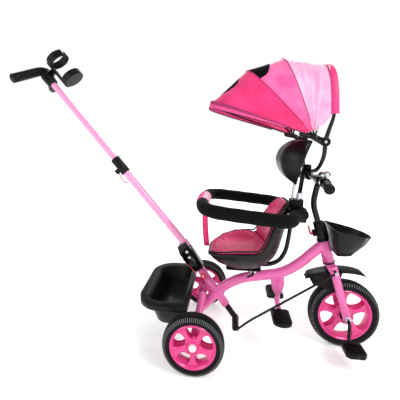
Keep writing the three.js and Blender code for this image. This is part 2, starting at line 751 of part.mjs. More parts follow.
piece('handle_upper_tube', 'pinkPaint',
  rodBetween([0, 0, -CLAMP_AT - 110], [0, 0, 0], UPPER_TUBE_R, 20).applyMatrix4(HANDLE));

const PUSH_GRIP = [
  [-60, -126, 19], [-42, -98, 20], [-14, -56, 22], [4, -24, 24], [4, 24, 24], [-14, 56, 22],
  [-42, 98, 20], [-60, 126, 19],
];

function pushGrip() {
  const bar = tubeAlong(smooth(PUSH_GRIP), 17, 10, 14);
  const hub = turned([0, 0, -34], [0, 0, -33], [
    [UPPER_TUBE_R + GAP, 0], [18, 0], [20, 5], [22, 40], [18, 62], [0, 62],
    [0, 34 + GAP], [UPPER_TUBE_R + GAP, 34 + GAP], [UPPER_TUBE_R + GAP, 0],
  ], 18);
  return cut(union(bar, hub), rodBetween([0, 0, -80], [0, 0, GAP], UPPER_TUBE_R + GAP, 18));
}

piece('push_grip', 'blackPlastic', geometryOf(pushGrip()).applyMatrix4(HANDLE));

const BOTTLE = { out: 79, ringAt: 26, cupAt: -67, r: 39 };

function bottleHolder() {
  const { out, ringAt, cupAt, r } = BOTTLE;
  const ring = cut(
    tubeBetween([out, 0, ringAt - 15], [out, 0, ringAt + 15], r, r - 4, 24),
    block([out + 8, -13, ringAt - 30], [out + 60, 13, ringAt + 30]));
  const cup = cut(
    rodBetween([out, 0, cupAt - 13], [out, 0, cupAt + 13], r, 20),
    rodBetween([out, 0, cupAt - 9], [out, 0, cupAt + 30], r - 4, 20));
  const spine = block([out - r - 3, -11, cupAt - 13], [out - r + 3, 11, ringAt + 15]);
  const arm = block([23, -9, -6], [out - r, 9, 12]);
  return union(ring, cup, spine, arm);
}

piece('bottle_holder', 'blackPlastic', geometryOf(bottleHolder()).applyMatrix4(HANDLE));

// ---------------------------------------------------------------- seat

const [POST_X] = SEAT_POST;

piece('seat_bracket', 'blackPaint', union(
  rodBetween([POST_X, 0, SEAT_POST_TOP + GAP], [POST_X, 0, 285.5], 19, 20),
  slab(roundedOutline(132, 84, 12), 285, 288, 4).translate(168, 0, 0),
));

// The bucket's surface along its middle, front edge first, then over the crease to the top.
const SEAT_LINE = new THREE.CatmullRomCurve3([
  [40, 0, 364], [72, 0, 353], [118, 0, 347], [170, 0, 344], [216, 0, 348], [245, 0, 368],
  [264, 0, 420], [286, 0, 490], [310, 0, 556],
].map(vec), false, 'centripetal');
const seatHalf = profileOf([62, 108, 124, 126, 124, 120, 112, 92, 60]);
const seatRise = profileOf([8, 36, 52, 56, 52, 38, 32, 24, 6]);
const seatDepth = profileOf([24, 44, 54, 52, 42, 42, 40, 34, 24]);

// A point of the bucket: u from front to top, v across, at a depth behind the surface.
function seatPoint(u, v, depth) {
  const point = SEAT_LINE.getPointAt(u);
  const tangent = SEAT_LINE.getTangentAt(u);
  const side = 2 * v - 1;
  const rise = seatRise(u) * Math.abs(side) ** 2.6 - depth * (1 - 0.35 * Math.abs(side) ** 3);
  return [point.x - tangent.z * rise, side * seatHalf(u), point.z + tangent.x * rise];
}

function seatLayer(fromU, toU, edge, shallow, deep) {
  return shaped(12, 6, (u, v, t) => {
    const along = fromU + (toU - fromU) * u;
    const depth = t < 0.5 ? shallow : deep(along);
    return seatPoint(along, 0.5 + (v - 0.5) * edge, depth);
  });
}

piece('seat_shell', 'leatherette', seatLayer(0, 1, 1, 20.5, seatDepth));
piece('seat_pad', 'pinkLeatherette', seatLayer(0.02, 0.5, 0.97, 0, () => 14));
piece('back_pad', 'pinkLeatherette', seatLayer(0.56, 0.98, 0.95, 0, () => 14));

piece('seat_back_tube', 'blackPaint', tubeAlong(smooth([
  [232, 0, 296.5], [262, 0, 298], [300, 0, 314], [324, 0, 350], [335, 0, 400],
  [341, 0, 450], [345, 0, 513],
]), 8, 10, 20));

const RING_TILT = 0.102;
const ringZ = (x) => 542 - RING_TILT * x;

function postClamp() {
  return cut(
    union(
      block([336, -18, 514], [382, 18, 556]),
      block([354, -15, 470], [396, 15, 520]),
    ),
    rodBetween([345, 0, 490], [345, 0, 514.5], 8 + GAP, 16),
    mastBore(11 + GAP),
    rodBetween([342.5, 0, 521], [347, 0, 580], 6.6, 14),
  );
}

const MAST_LOW = [362, 0, 518];
const MAST_HIGH = [384, 0, 672];

function mastPoint(z) {
  const f = (z - MAST_LOW[2]) / (MAST_HIGH[2] - MAST_LOW[2]);
  return [MAST_LOW[0] + f * (MAST_HIGH[0] - MAST_LOW[0]), 0, z];
}

function mastBore(radius) {
  return rodBetween(mastPoint(517), mastPoint(700), radius, 20);
}

piece('post_clamp', 'blackPlastic', postClamp());
piece('canopy_sleeve', 'steel', tubeBetween(mastPoint(518), mastPoint(580), 11, 8.4, 20));

piece('headrest_bar', 'steel', tubeAlong(smooth([
  [343, 0, 523], [347, 0, 580], [355, 0, 630], [366, 0, 680], [380, 0, 725], [397, 0, 768],
]), 5.5, 8, 16));

function headrest() {
  const outline = new THREE.Shape();
  outline.moveTo(338, 622);
  outline.splineThru([
    [318, 638], [300, 668], [294, 702], [306, 738], [333, 764], [366, 777], [388, 775],
  ].map(([x, z]) => new THREE.Vector2(x, z)));
  outline.lineTo(372, 735);
  outline.lineTo(353, 680);
  return plate(outline, -92, 92, 3);
}

piece('headrest', 'leatherette', headrest());

// ---------------------------------------------------------------- guard ring

const RING_LINE = [
  [12, 0.6], [12, 26], [13, 60], [18, 100], [32, 135], [62, 158], [110, 165], [205, 166],
  [285, 163], [312, 148], [326, 118], [338, 84], [358, 50], [377, 30], [377, 19.5],
];

function guardHalf(sign) {
  return tubeAlong(smooth(RING_LINE.map(([x, y]) => [x, sign * y, ringZ(x)])), RING_R, 10, 20);
}

piece('guard_ring_left', 'blackFabric', guardHalf(1));
piece('guard_ring_right', 'blackFabric', guardHalf(-1));

piece('crotch_strap', 'pinkFabric', shaped(2, 8, (u, v, t) => {
  const lean = Math.sin(Math.PI * v) * 3;
  return [18 + 8 * v - lean + 18 * (u - 0.5), 4 * (t - 0.5), 516 - 156 * v];
}));

// ---------------------------------------------------------------- canopy

// Each bow: its angle up from the rear, its reach, and half its width.
const BOWS = [
  ['front_bow', 18.8, 351, 150],
  ['rib_2', 47.5, 306, 157],
  ['rib_3', 71.5, 277, 164],
  ['rear_bow', 104.5, 245, 171],
];
const BOW_R = 3;
const BOW_SQUARE = 0.66;

// A point of a hoop hung from the hub: at 0 and 1 on the hinge line, at 0.5 on top.
function hoopPoint(angle, reach, half, f) {
  const turn = Math.PI * f;
  const out = reach * Math.sin(turn) ** BOW_SQUARE;
  const y = -half * Math.sign(Math.cos(turn)) * Math.abs(Math.cos(turn)) ** BOW_SQUARE;
  return [BOW_HUB[0] - out * Math.cos(rad(angle)), y, BOW_HUB[1] + out * Math.sin(rad(angle))];
}

for (const [name, angle, reach, half] of BOWS) {
  const points = [];
  for (let i = 0; i <= 20; i += 1) {
    const f = 0.5 - 0.5 * Math.cos(Math.PI * (0.012 + 0.976 * i / 20));
    points.push(hoopPoint(angle, reach, half, f));
  }
  piece(name, 'blackPaint', tubeAlong(smooth(points), BOW_R, 5, 22));
}

const bowAngle = profileOf(BOWS.map((bow) => bow[1]));
const bowReach = profileOf(BOWS.map((bow) => bow[2]));
const bowHalf = profileOf(BOWS.map((bow) => bow[3]));

piece('canopy_fabric', 'pinkFabric', shaped(9, 12, (u, v, t) => {
  const f = 0.03 + 0.94 * v;
  const off = BOW_R + 6 + 2 * t;
  return hoopPoint(bowAngle(u), bowReach(u) + off, bowHalf(u) + off, f);
}));

function canopyYoke() {
  const mast = rodBetween(mastPoint(524), MAST_HIGH, 8, 16);
  const head = block([380, -16, 648], [406, 16, 686]);
  const arms = smooth([
    [HUB[0], -HUB_HALF + 4, HUB[1] + 2], [412, -138, 728], [406, -112, 690], [402, -66, 670],
    [398, -12, 666], [398, 12, 666], [402, 66, 670], [406, 112, 690], [412, 138, 728],
    [HUB[0], HUB_HALF - 4, HUB[1] + 2],
  ]);
  const hubs = [-1, 1].map((sign) =>
    rodBetween([HUB[0], sign * 134, HUB[1]], [HUB[0], sign * (HUB_HALF + 1), HUB[1]], 15, 14));
  const bar = [[421, 764], [406, 785], [372, 801], [336, 806], [330, 798], [336, 789],
    [370, 782], [400, 764], [413, 759]];
  const pivots = rodBetween([BOW_HUB[0], 134, BOW_HUB[1]], [BOW_HUB[0], 146.5, BOW_HUB[1]], 7, 12);
  const farPivots = rodBetween([BOW_HUB[0], -146.5, BOW_HUB[1]], [BOW_HUB[0], -134, BOW_HUB[1]],
    7, 12);
  return union(mast, head, tubeAlong(arms, 7, 6, 22), ...hubs, plate(bar, 135, 142),
    plate(bar, -142, -135), pivots, farPivots);
}

piece('canopy_yoke', 'blackPaint', canopyYoke());

const box = new THREE.Box3().setFromObject(trike);
trike.position.x = -(box.min.x + box.max.x) / 2;

export default trike;
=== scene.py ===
import json
import math

import bmesh
import bpy
from mathutils import Matrix, Vector, noise
from mathutils.bvhtree import BVHTree

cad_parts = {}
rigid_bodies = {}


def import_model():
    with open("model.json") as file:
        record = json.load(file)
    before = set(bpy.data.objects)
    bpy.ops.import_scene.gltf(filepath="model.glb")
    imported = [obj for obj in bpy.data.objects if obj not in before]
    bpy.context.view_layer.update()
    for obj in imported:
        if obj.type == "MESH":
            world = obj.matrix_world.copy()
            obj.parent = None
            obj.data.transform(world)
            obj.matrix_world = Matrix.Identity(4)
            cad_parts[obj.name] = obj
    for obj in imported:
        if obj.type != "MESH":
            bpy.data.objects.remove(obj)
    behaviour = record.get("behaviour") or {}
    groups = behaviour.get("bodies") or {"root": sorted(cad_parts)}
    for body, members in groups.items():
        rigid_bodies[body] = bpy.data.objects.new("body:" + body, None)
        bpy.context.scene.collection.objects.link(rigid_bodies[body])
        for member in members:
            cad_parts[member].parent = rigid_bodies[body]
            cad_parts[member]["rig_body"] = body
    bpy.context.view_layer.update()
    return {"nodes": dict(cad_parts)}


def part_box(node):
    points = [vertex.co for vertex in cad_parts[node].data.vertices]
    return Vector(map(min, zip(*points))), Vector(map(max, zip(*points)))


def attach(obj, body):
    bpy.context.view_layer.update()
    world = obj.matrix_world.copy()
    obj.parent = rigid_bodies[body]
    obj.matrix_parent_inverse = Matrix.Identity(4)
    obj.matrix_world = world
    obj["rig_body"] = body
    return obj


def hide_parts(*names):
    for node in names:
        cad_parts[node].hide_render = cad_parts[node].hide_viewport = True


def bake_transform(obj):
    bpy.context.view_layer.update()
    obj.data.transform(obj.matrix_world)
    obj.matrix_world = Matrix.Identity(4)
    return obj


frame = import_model()
scene = bpy.context.scene

axle_low, axle_high = (Vector(corner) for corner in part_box("rear_axle"))
SHIFT = Vector(((axle_low.x + axle_high.x) / 2, 0, 0))
TURN = 2 * math.pi


# ---- places, in millimetres from the point on the floor under the rear axle

def at(x, y, z):
    """A place in millimetres as Blender's metres."""
    return Vector((x, y, z)) / 1000 + SHIFT


def leaning(x, z, degrees):
    """A frame whose Z leans back from the vertical."""
    return Matrix.Translation(at(x, 0, z)) @ Matrix.Rotation(-math.radians(degrees), 4, "Y")


STEER = leaning(544, 127, 16.7)
SLEEVE = leaning(0, 267, 36.4)


def on(lean, x, y, z):
    """A place in millimetres in one of the leaning frames."""
    return lean @ (Vector((x, y, z)) / 1000)


def curve(points, count):
    """Points spread evenly along a smooth line through the given ones."""
    ends = [points[0] * 2 - points[1], *points, points[-1] * 2 - points[-2]]
    fine = []
    for i in range(1, len(ends) - 2):
        p = ends[i - 1:i + 3]
        knot = [0.0]
        for a, b in zip(p, p[1:]):
            knot.append(knot[-1] + max((b - a).length, 1e-6) ** 0.5)
        for k in range(24):
            t = knot[1] + (knot[2] - knot[1]) * k / 24
            first = [p[j] + (p[j + 1] - p[j]) * ((t - knot[j]) / (knot[j + 1] - knot[j]))
                     for j in range(3)]
            second = [first[j] + (first[j + 1] - first[j])
                      * ((t - knot[j]) / (knot[j + 2] - knot[j])) for j in range(2)]
            fine.append(second[0] + (second[1] - second[0])
                        * ((t - knot[1]) / (knot[2] - knot[1])))
    fine.append(points[-1].copy())
    return spread(fine, count)


def spread(line, count):
    """The same line in evenly spaced points."""
    reach = [0.0]
    for a, b in zip(line, line[1:]):
        reach.append(reach[-1] + (b - a).length)
    found, i = [], 0
    for k in range(count):
        goal = reach[-1] * k / (count - 1)
        while i < len(line) - 2 and reach[i + 1] < goal:
            i += 1
        step = reach[i + 1] - reach[i]
        share = (goal - reach[i]) / step if step > 1e-9 else 0
        found.append(line[i].lerp(line[i + 1], min(max(share, 0), 1)))
    return found


def eased(values, u):
    """A value between evenly spaced stations, joined smoothly."""
    place = min(max(u, 0), 1) * (len(values) - 1)
    i = min(int(place), len(values) - 2)
    f = place - i
    return values[i] + (values[i + 1] - values[i]) * (0.5 * f + 0.5 * f * f * (3 - 2 * f))


# ---- materials

def linear(code):
    """An sRGB hex colour as linear values."""
    channels = [int(code[i:i + 2], 16) / 255 for i in (0, 2, 4)]
    return tuple(c / 12.92 if c <= 0.04045 else ((c + 0.055) / 1.055) ** 2.4
                 for c in channels) + (1.0,)


def node(tree, kind, inputs=(), **settings):
    """Adds a shader node with its settings, and sets or links its inputs."""
    added = tree.nodes.new(kind)
    for name, value in settings.items():
        setattr(added, name, value)
    for socket, value in dict(inputs).items():
        if isinstance(value, bpy.types.NodeSocket):
            tree.links.new(value, added.inputs[socket])
        else:
            added.inputs[socket].default_value = value
    return added


def material(name, colour, roughness, metallic=0.0, **sockets):
    """A plain finish: its tree, its shader and the place on the piece that patterns read."""
    finish = bpy.data.materials.new(name)
    finish.use_nodes = True
    tree = finish.node_tree
    tree.nodes.clear()
    shader = node(tree, "ShaderNodeBsdfPrincipled", {
        "Base Color": linear(colour), "Roughness": roughness, "Metallic": metallic})
    for socket, value in sockets.items():
        shader.inputs[socket.replace("_", " ")].default_value = value
    node(tree, "ShaderNodeOutputMaterial", {"Surface": shader.outputs["BSDF"]})
    place = node(tree, "ShaderNodeTexCoord").outputs["Object"]
    return finish, tree, shader, place


def grained(tree, shader, place, size, height, strength):
    """A moulded or pressed grain: size and height in millimetres."""
    grain = node(tree, "ShaderNodeTexNoise", {
        "Vector": place, "Scale": 1000 / size, "Detail": 2.0})
    bump = node(tree, "ShaderNodeBump", {
        "Height": grain.outputs["Fac"], "Strength": strength, "Distance": height / 1000})
    tree.links.new(bump.outputs["Normal"], shader.inputs["Normal"])


def mottled(tree, shader, place, size, dark, light):
    """A soft change of colour over patches of a size in millimetres."""
    patch = node(tree, "ShaderNodeTexNoise", {
        "Vector": place, "Scale": 1000 / size, "Detail": 3.0})
    tone = node(tree, "ShaderNodeMapRange", {
        "Value": patch.outputs["Fac"], "From Min": 0.32, "From Max": 0.68})
    mix = node(tree, "ShaderNodeMix", {0: tone.outputs["Result"]}, data_type="RGBA")
    mix.inputs[6].default_value = linear(dark)
    mix.inputs[7].default_value = linear(light)
    tree.links.new(mix.outputs[2], shader.inputs["Base Color"])


def woven(tree, shader, place, thread, height):
    """Two crossed rows of thread, drawn coarser than real so that they show."""
    rows = []
    for direction in ("X", "Z"):
        rows.append(node(tree, "ShaderNodeTexWave", {
            "Vector": place, "Scale": 1000 / thread / TURN * 0.5, "Distortion": 0.6,
            "Detail": 1.0}, bands_direction=direction))
    cross = node(tree, "ShaderNodeMath", {
        0: rows[0].outputs["Fac"], 1: rows[1].outputs["Fac"]}, operation="MULTIPLY")
    bump = node(tree, "ShaderNodeBump", {
        "Height": cross.outputs["Value"], "Strength": 0.6, "Distance": height / 1000})
    tree.links.new(bump.outputs["Normal"], shader.inputs["Normal"])


# Powder-coated steel tube: an even gloss with a faint orange peel.
pink_powder_coat, tree, shader, place = material(
    "pink powder coat", "F06CB2", 0.30, Coat_Weight=0.30, Coat_Roughness=0.12)
grained(tree, shader, place, 5, 0.05, 0.25)
# Painted highlight: a paler copy of the pink coat for the push handle's tubes.
highlight_painted_powder_coat, tree, shader, place = material(
    "pink powder coat painted pale as highlight", "F59CCB", 0.24, Coat_Weight=0.4, Coat_Roughness=0.1)
grained(tree, shader, place, 5, 0.05, 0.25)
black_powder_coat, tree, shader, place = material(
    "black powder coat", "060607", 0.30, Coat_Weight=0.08, Coat_Roughness=0.15,
    Specular_IOR_Level=0.28)
grained(tree, shader, place, 3, 0.05, 0.3)
# Injection-moulded polypropylene: a fine spark-eroded grain that softens the highlight.
black_moulded_polypropylene, tree, shader, place = material(
    "black moulded polypropylene", "07070A", 0.44, Specular_IOR_Level=0.2)
grained(tree, shader, place, 1.2, 0.06, 0.45)
basket_polypropylene, tree, shader, place = material(
    "basket polypropylene", "08090C", 0.40, Specular_IOR_Level=0.25)
grained(tree, shader, place, 1.6, 0.07, 0.4)
# Glossy moulded ABS for the wheel rims.
pink_moulded_abs, tree, shader, place = material(
    "pink moulded ABS", "E83C8C", 0.26, Coat_Weight=0.2)
grained(tree, shader, place, 6, 0.04, 0.15)
pale_moulded_abs, tree, shader, place = material("pale moulded ABS", "F6E6EF", 0.22)
grained(tree, shader, place, 6, 0.03, 0.15)
red_moulded_nylon, tree, shader, place = material("red moulded nylon", "D8294A", 0.34)
grained(tree, shader, place, 1.5, 0.04, 0.3)
# Foamed EVA: matt and faintly pitted.
eva_foam, tree, shader, place = material("EVA foam tyre", "070709", 0.62, Specular_IOR_Level=0.18)
grained(tree, shader, place, 1.4, 0.12, 0.6)
# Zinc-plated steel: bright, with soft uneven reflections.
zinc_plate, tree, shader, place = material("zinc plate", "C9CCD2", 0.22, 1.0)
grained(tree, shader, place, 7, 0.05, 0.2)
# Polyurethane leatherette on foam: a pressed pebble grain with a soft sheen.
black_leatherette, tree, shader, place = material(
    "black leatherette", "060709", 0.38, Specular_IOR_Level=0.3)
grained(tree, shader, place, 1.6, 0.12, 0.6)
crimson_leatherette, tree, shader, place = material(
    "crimson leatherette", "D6356E", 0.48, Specular_IOR_Level=0.35)
mottled(tree, shader, place, 45, "CC2A62", "DE447C")
grained(tree, shader, place, 1.6, 0.12, 0.5)
# Plain-woven polyester, coated inside: slightly glossy. The middle and rear panels' lighter copies
# are painted light, brighter towards the back.
pink_polyester, tree, shader, place = material(
    "pink woven polyester", "E8206F", 0.5, Sheen_Weight=0.15, Sheen_Roughness=0.4)
mottled(tree, shader, place, 60, "E01C68", "EE3480")
woven(tree, shader, place, 1.5, 0.10)
# Painted light: the front panel's polyester, painted lighter for the middle panel.
painted_light_mid_polyester, tree, shader, place = material(
    "pink polyester painted sunlit", "F25C9E", 0.5, Sheen_Weight=0.15, Sheen_Roughness=0.4)
mottled(tree, shader, place, 60, "EE4C93", "F676B0")
woven(tree, shader, place, 1.5, 0.10)
# Painted light: the same polyester, painted pale for the rear panel and the rear gusset.
painted_light_rear_polyester, tree, shader, place = material(
    "pale pink polyester with painted light", "F7A6CD", 0.5, Sheen_Weight=0.15, Sheen_Roughness=0.4)
mottled(tree, shader, place, 70, "F38FC0", "FBC6DF")
woven(tree, shader, place, 1.5, 0.10)
# The tyres' shoulder ribs are a lighter grey than their black tread.
grey_rib_foam, tree, shader, place = material("grey rib EVA foam", "6A6B70", 0.7)
grained(tree, shader, place, 1.4, 0.12, 0.6)
wine_binding, tree, shader, place = material("wine bias binding", "A0265F", 0.75)
woven(tree, shader, place, 1.2, 0.10)
black_binding, tree, shader, place = material("black bias binding", "141317", 0.8)
woven(tree, shader, place, 1.2, 0.10)
valance_polyester, tree, shader, place = material("valance polyester", "EC4A90", 0.7)
woven(tree, shader, place, 1.2, 0.10)
black_mesh, tree, shader, place = material(
    "black vent mesh", "040405", 0.85, Specular_IOR_Level=0.1)
woven(tree, shader, place, 2.4, 0.30)
# The guard ring's sleeve: pink outside and pale inside, sewn along its top.
sleeve_polyester, tree, shader, place = material("two-tone sleeve polyester", "F2599B", 0.55)
woven(tree, shader, place, 1.4, 0.10)
across = node(tree, "ShaderNodeSeparateXYZ", {"Vector": place})
side = node(tree, "ShaderNodeMapRange", {
    "Value": across.outputs["X"], "From Min": at(13, 0, 0).x, "From Max": at(15, 0, 0).x})
tone = node(tree, "ShaderNodeMix", {0: side.outputs["Result"]}, data_type="RGBA")
tone.inputs[6].default_value = linear("EE4F95")
tone.inputs[7].default_value = linear("F9BBD9")
tree.links.new(tone.outputs[2], shader.inputs["Base Color"])
# Brushed knit over foam on the guard ring.
black_foam_knit, tree, shader, place = material(
    "black knit over foam", "040405", 0.85, Sheen_Weight=0.02, Sheen_Roughness=0.5,
    Specular_IOR_Level=0.15)
grained(tree, shader, place, 1.0, 0.15, 0.7)


# ---- shapes

def built(name, shape, body, finish, replaced=(), angle=38):
    """Turns a bmesh into a finished piece that goes with a body."""
    mesh = bpy.data.meshes.new(name)
    shape.to_mesh(mesh)
    shape.free()
    mesh.materials.append(finish)
    mesh.shade_smooth()
    mesh.set_sharp_from_angle(angle=math.radians(angle))
    made = bpy.data.objects.new(name, mesh)
    scene.collection.objects.link(made)
    if body:
        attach(made, body)
    if replaced:
        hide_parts(*replaced)
    return made


def outward(shape):
    """Closes a shape's seams and turns its faces out."""
    bmesh.ops.remove_doubles(shape, verts=shape.verts, dist=1e-6)
    bmesh.ops.recalc_face_normals(shape, faces=shape.faces)
    return shape


def facing(direction):
    """The turn that takes Z to a direction."""
    return Vector((0, 0, 1)).rotation_difference(Vector(direction)).to_matrix().to_4x4()


def tube(shape, line, radius, sides, wide=1.0):
    """A closed bar along a line, with a radius in millimetres, or one for each point. It is wide
    times as broad as it is high."""
    radii = radius if isinstance(radius, list) else [radius] * len(line)
    way = (line[1] - line[0]).normalized()
    turn = facing(way)
    rows = []
    for i, point in enumerate(line):
        new = (line[min(i + 1, len(line) - 1)] - line[max(i - 1, 0)]).normalized()
        turn = way.rotation_difference(new).to_matrix().to_4x4() @ turn
        way = new
        size = Matrix.Diagonal((radii[i] / 1000, radii[i] * wide / 1000, 1, 1))
        ring = bmesh.ops.create_circle(shape, segments=sides, radius=1.0,
                                       matrix=Matrix.Translation(point) @ turn @ size)["verts"]
        rows.append(list({edge for v in ring for edge in v.link_edges}))
    for a, b in zip(rows, rows[1:]):
        bmesh.ops.bridge_loops(shape, edges=a + b)
    for row in (rows[0], rows[-1]):
        bmesh.ops.contextual_create(shape, geom=row)


def lathe(shape, profile, place, steps):
    """A profile of (radius, distance) in millimetres turned round a place's Z."""
    points = [shape.verts.new(place @ (Vector((r, 0, d)) / 1000)) for r, d in profile]
    edges = [shape.edges.new(pair) for pair in zip(points, points[1:])]
    axis = place.to_3x3() @ Vector((0, 0, 1))
    bmesh.ops.spin(shape, geom=points + edges, cent=place.translation, axis=axis,
                   angle=TURN, steps=steps, use_merge=True)
    bmesh.ops.remove_doubles(shape, verts=shape.verts, dist=1e-6)


def box(shape, low, high, place, round_by=0.0, segments=3):
    """A block between two corners in millimetres, in a frame, with rounded edges."""
    size = [(b - a) / 1000 for a, b in zip(low, high)]
    middle = Vector([(a + b) / 2000 for a, b in zip(low, high)])
    verts = bmesh.ops.create_cube(shape, size=1.0, matrix=place @ Matrix.Translation(middle)
                                  @ Matrix.Diagonal((*size, 1)))["verts"]
    if round_by:
        edges = list({edge for v in verts for edge in v.link_edges})
        bmesh.ops.bevel(shape, geom=edges, offset=round_by / 1000, affect="EDGES",
                        segments=segments, profile=0.5, material=-1)


def field(shape, across, along, place):
    """A grid of points, each sent to place(u, v), with u and v from 0 to 1."""
    verts = bmesh.ops.create_grid(shape, x_segments=across, y_segments=along, size=0.5)["verts"]
    for v in verts:
        v.co = place(v.co.x + 0.5, v.co.y + 0.5)
    return verts


def thick(shape, faces, depth):
    """Gives faces a wall of a depth in millimetres."""
    bmesh.ops.recalc_face_normals(shape, faces=faces)
    bmesh.ops.solidify(shape, geom=faces, thickness=depth / 1000)


AXIS_Y = Matrix.Rotation(-math.pi / 2, 4, "X")


def polished(name, finish, angle=40):
    """A CAD node's own shape, merged and shaded smooth, in its finish."""
    shape = bmesh.new()
    shape.from_mesh(frame["nodes"][name].data)
    bmesh.ops.remove_doubles(shape, verts=shape.verts, dist=2e-5)
    return built(name + "_finished", shape, frame["nodes"][name]["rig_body"], finish, [name],
                 angle)


# ---- wheels

RIBS = 90  # on each shoulder of a tyre
ARMS = 5   # on each face of a rim
REAR_TRACK, REAR_TYRE, REAR_RIM = 212, 103.6, 77.2
FRONT_X, FRONT_TYRE, FRONT_RIM = 544, 127, 96.6


def tyre(name, centre, outer, inner, body, replaced):
    """A foam tyre: rounded tread, and a row of short ribs round each shoulder."""
    shape = bmesh.new()
    half = [(inner, 22), (inner + 5, 24.4), (outer - 19, 25), (outer - 10, 23.4),
            (outer - 4, 18.5), (outer - 0.8, 11), (outer, 4)]
    lathe(shape, half + [(r, -y) for r, y in reversed(half)] + [half[0]], centre, 96)
    for side in (-1, 1):
        rib = bmesh.new()
        box(rib, (outer - 14, -1.2, 19.5 * side - 1.6), (outer - 3.2, 1.2, 21.7 * side),
            centre)
        for v in rib.verts:
            local = centre.inverted() @ v.co
            if abs(local.z) > 0.0195:
                past = max(abs(local.x) * 1000 - (outer - 14), 0)
                local.z = side * (25.4 - 0.50 * past) / 1000
            v.co = centre @ local
        bmesh.ops.spin(rib, geom=rib.verts[:] + rib.edges[:] + rib.faces[:],
                       cent=centre.translation, axis=centre.to_3x3() @ Vector((0, 0, 1)),
                       angle=TURN * (RIBS - 1) / RIBS, steps=RIBS - 1, use_duplicate=True)
        built(f"{name}_ribs_{'inner' if side < 0 else 'outer'}", outward(rib), body, grey_rib_foam)
    return built(name, outward(shape), body, eva_foam, replaced)


def rim(name, centre, outer, hub, boss, body, replaced):
    """A moulded wheel: a dished barrel, five ridged arms on each face, and a boss."""
    shape = bmesh.new()
    edge = outer - 0.3
    half = [(edge, 21.5), (edge - 2, 23.4), (edge - 5, 23.4), (edge - 8, 20.5),
            (edge - 10.5, 17), (edge - 12, 5)]
    lathe(shape, half + [(r, -y) for r, y in reversed(half)] + [half[0]], centre, 96)
    lathe(shape, [(0, boss), (hub * 0.8, boss), (hub, boss - 2), (hub * 1.22, 9), (hub * 1.25, 0),
                  (hub * 1.22, -9), (hub, -boss + 2), (hub * 0.8, -boss), (0, -boss)], centre, 48)
    ledge = edge - 9
    widths = [hub * 0.95, 10.5, 8.2, 8.6, 12.5, 24]
    for side in (-1, 1):
        for arm in range(ARMS):
            turn = Matrix.Rotation(math.radians(54 + 360 / ARMS * arm), 4, "Z")
            face = bmesh.new()

            def arm_place(u, v):
                reach = hub * 0.9 + (ledge - hub * 0.9) * v
                across = (2 * u - 1) * eased(widths, v)
                ridge = 4.5 * (1 - abs(2 * u - 1)) * math.sin(math.pi * min(v * 1.15, 1)) ** 0.5
                height = eased([boss - 4, 12, 11, 11.5, 14], v) + ridge
                return centre @ turn @ (Vector((reach, across, side * height)) / 1000)

            field(face, 5, 10, arm_place)
            thick(face, face.faces[:], 5.0)
            bmesh.ops.recalc_face_normals(face, faces=face.faces)
            spare = bpy.data.meshes.new("arm")
            face.to_mesh(spare)
            face.free()
            shape.from_mesh(spare)
            bpy.data.meshes.remove(spare)
    return built(name, shape, body, pink_moulded_abs, replaced, angle=32)


for side, sign in (("left", 1), ("right", -1)):
    centre = Matrix.Translation(at(0, sign * REAR_TRACK, REAR_TYRE)) @ Matrix.Rotation(
        -sign * math.pi / 2, 4, "X")
    body = "rear_wheel_" + side
    tyre(f"rear_{side}_foam_tyre", centre, REAR_TYRE, REAR_RIM, body, [f"rear_tyre_{side}"])
    rim(f"rear_{side}_moulded_rim", centre, REAR_RIM, 19, 20.5, body, [f"rear_rim_{side}"])
    shape = bmesh.new()
    lathe(shape, [(0, 21.2), (13, 21.2), (13.2, 23.4), (12, 26.4), (8.6, 28.8), (4.4, 30.2),
                  (0, 30.8)], centre, 40)
    built(f"rear_{side}_domed_cap", outward(shape), body, pale_moulded_abs,
          [f"rear_hub_cap_{side}"])

centre = Matrix.Translation(at(FRONT_X, 0, FRONT_TYRE)) @ AXIS_Y
tyre("front_foam_tyre", centre, FRONT_TYRE, FRONT_RIM, "front_wheel", ["front_tyre"])
rim("front_moulded_rim", centre, FRONT_RIM, 24, 20, "front_wheel", ["front_rim"])
polished("front_hub", black_moulded_polypropylene)

# ---- steel and plastic parts that keep the shapes of the frame

for name in ("welded_frame", "fork", "footrest_arm"):
    polished(name, pink_powder_coat)
# The push handle's tubes get the paler copy of the coat, a painted highlight.
for name in ("handle_lower_tube", "handle_upper_tube"):
    polished(name, highlight_painted_powder_coat)
for name in ("headset_lower", "headset_upper", "stem", "handlebar", "crank_axle", "handle_shaft",
             "link_rod", "handle_connector", "seat_bracket", "seat_back_tube", "canopy_yoke",
             "front_bow", "rib_2", "rib_3", "rear_bow"):
    polished(name, black_powder_coat)
for name in ("mudguard", "steering_collar", "grip_left", "grip_right", "bell_lever",
             "telescopic_clamp", "push_grip", "bottle_holder", "post_clamp"):
    polished(name, black_moulded_polypropylene)
for name in ("front_basket", "rear_basket"):
    polished(name, basket_polypropylene, 34)
for name in ("rear_axle", "bell", "basket_clip", "canopy_sleeve", "headrest_bar"):
    polished(name, zinc_plate)
for name in ("collar_lever", "clamp_lever", "connector_lever"):
    polished(name, red_moulded_nylon)


